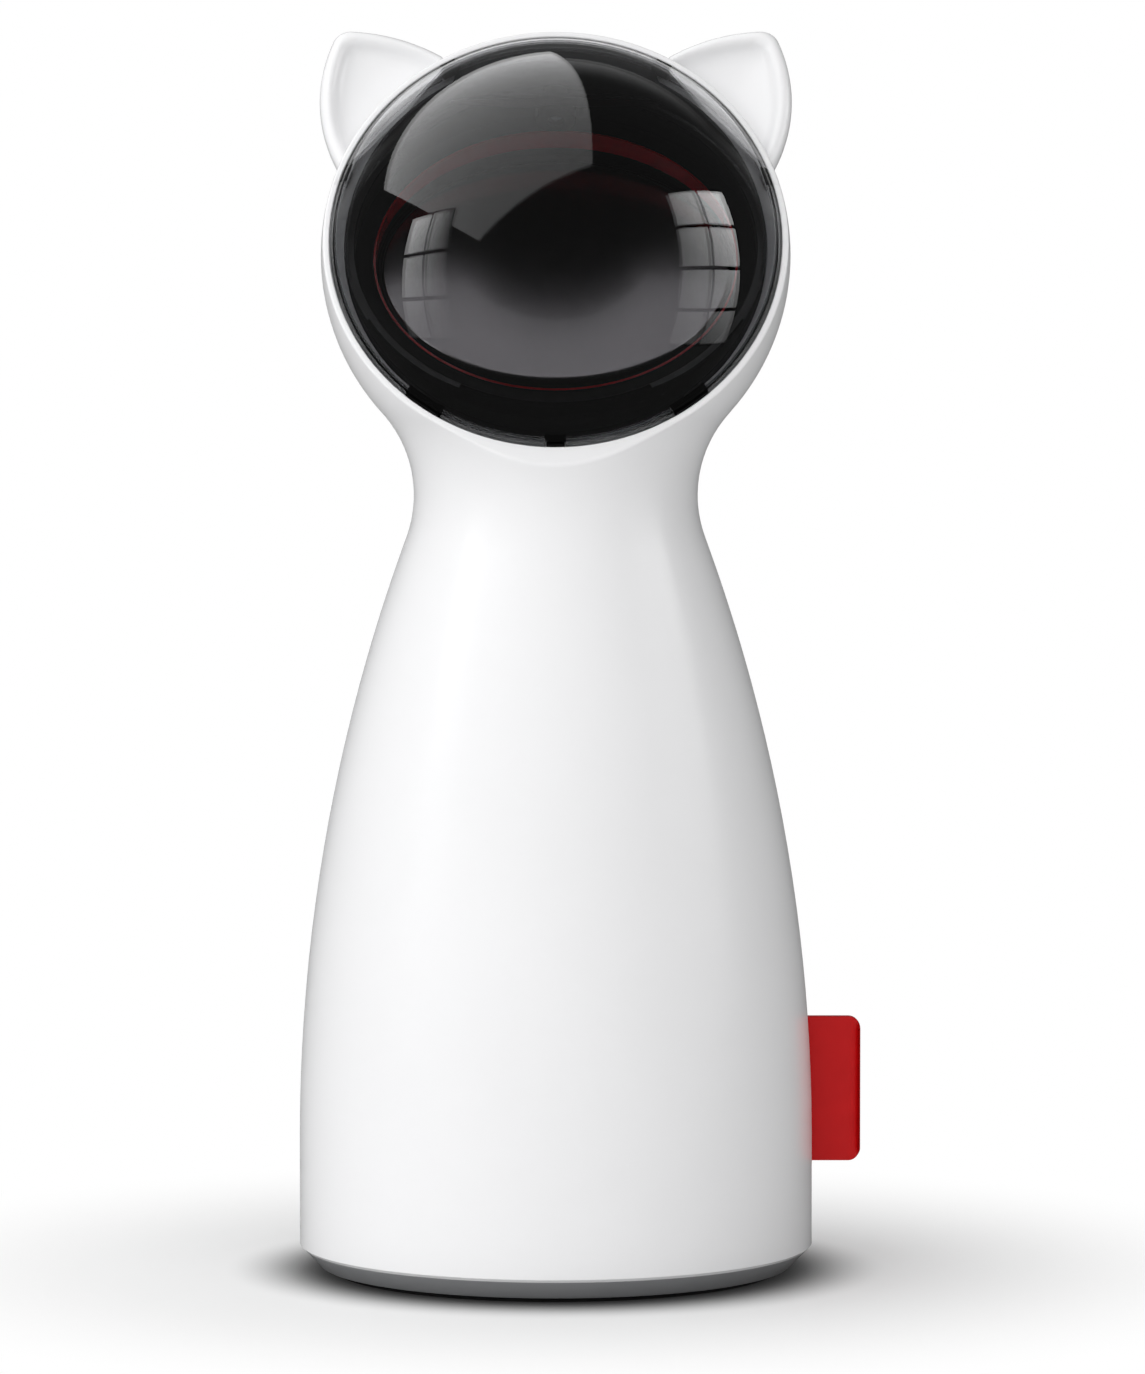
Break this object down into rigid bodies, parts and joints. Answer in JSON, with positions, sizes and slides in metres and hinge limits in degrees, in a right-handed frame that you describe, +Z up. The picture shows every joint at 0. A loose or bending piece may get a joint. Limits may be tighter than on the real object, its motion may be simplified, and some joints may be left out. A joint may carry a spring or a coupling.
{
  "type": "automatic cat laser toy",
  "caption": "Standing cat-shaped laser toy: white two-part body with ears, smoked dome, motor-turned tilted mirror, rear button, twist-off battery door.",
  "frame": {"origin": "centre of the round foot, on the surface the toy stands on", "axes": "+Z up along the body's axis; the dome faces -Y; +X is to the right in front view, the tag's side"},
  "size_m": [0.0941, 0.086, 0.2073],
  "materials": {
    "white_shell": "gloss moulded ABS",
    "grey_base": "satin moulded ABS",
    "smoked_dome": "clear smoked polycarbonate, polished",
    "black_bowl": "satin black ABS",
    "red_ring": "gloss red ABS",
    "mirror_glass": "front-silvered glass",
    "red_rubber": "soft moulded silicone",
    "black_rubber": "matt rubber",
    "brass_metal": "turned brass",
    "clear_lens": "polished lens",
    "steel_shaft": "ground steel",
    "white_gear": "moulded acetal",
    "motor_steel": "drawn steel can",
    "motor_plastic": "moulded nylon",
    "black_bracket": "moulded ABS",
    "screw_steel": "zinc-plated steel",
    "battery_jacket": "printed film jacket",
    "nickel_contact": "nickel-plated spring steel",
    "grey_holder": "moulded ABS",
    "green_board": "solder-masked glass epoxy",
    "board_black": "moulded epoxy",
    "light_guide": "milky light guide"
  },
  "bodies": {
    "housing": {"front_shell": "white_shell", "rear_shell": "white_shell", "dome_cover": "smoked_dome", "mirror_bowl": "black_bowl", "accent_ring": "red_ring", "laser_holder": "black_bracket", "laser_barrel": "brass_metal", "laser_lens": "clear_lens", "shaft_bush": "brass_metal", "motor_can": "motor_steel", "motor_end_cap": "motor_plastic", "motor_bracket": "black_bracket", "bracket_screws": "screw_steel", "side_tag": "red_rubber", "base_cover": "grey_base", "foot_ring": "black_rubber", "base_screws": "screw_steel", "battery_holder": "grey_holder", "battery_cells": "battery_jacket", "cell_contacts": "nickel_contact", "control_board": "green_board", "board_screws": "screw_steel", "tact_switch": "board_black", "board_parts": "board_black", "usb_socket": "nickel_contact", "light_ring": "light_guide", "shell_screws": "screw_steel"},
    "mirror_rotor": {"mirror_disc": "mirror_glass", "mirror_carrier": "black_bowl", "mirror_shaft": "steel_shaft", "output_gear": "white_gear"},
    "motor_pinion": {"motor_shaft": "steel_shaft", "drive_pinion": "white_gear"},
    "power_button_body": {"power_button": "white_shell"},
    "battery_door_body": {"battery_door": "grey_base", "door_contact": "nickel_contact"}
  },
  "joints": [
    {"name": "mirror_spin", "type": "hinge", "parent": "housing", "child": "mirror_rotor", "pos_m": [0, 0, 0.1706], "axis": [0, -0.6293, 0.7771], "continuous": true},
    {"name": "pinion_spin", "type": "hinge", "parent": "housing", "child": "motor_pinion", "pos_m": [0, -0.01088, 0.16179], "axis": [0, -0.6293, 0.7771], "continuous": true},
    {"name": "button_press", "type": "slide", "parent": "housing", "child": "power_button_body", "axis": [0, -1, 0], "range_m": [0, 0.0008], "stiffness_N_per_m": 600},
    {"name": "door_twist", "type": "hinge", "parent": "housing", "child": "battery_door_body", "pos_m": [0, 0, 0], "axis": [0, 0, 1], "range_deg": [0, 35]}
  ],
  "couplings": [
    {"joint": "pinion_spin", "follows": "mirror_spin", "ratio": -3}
  ]
}
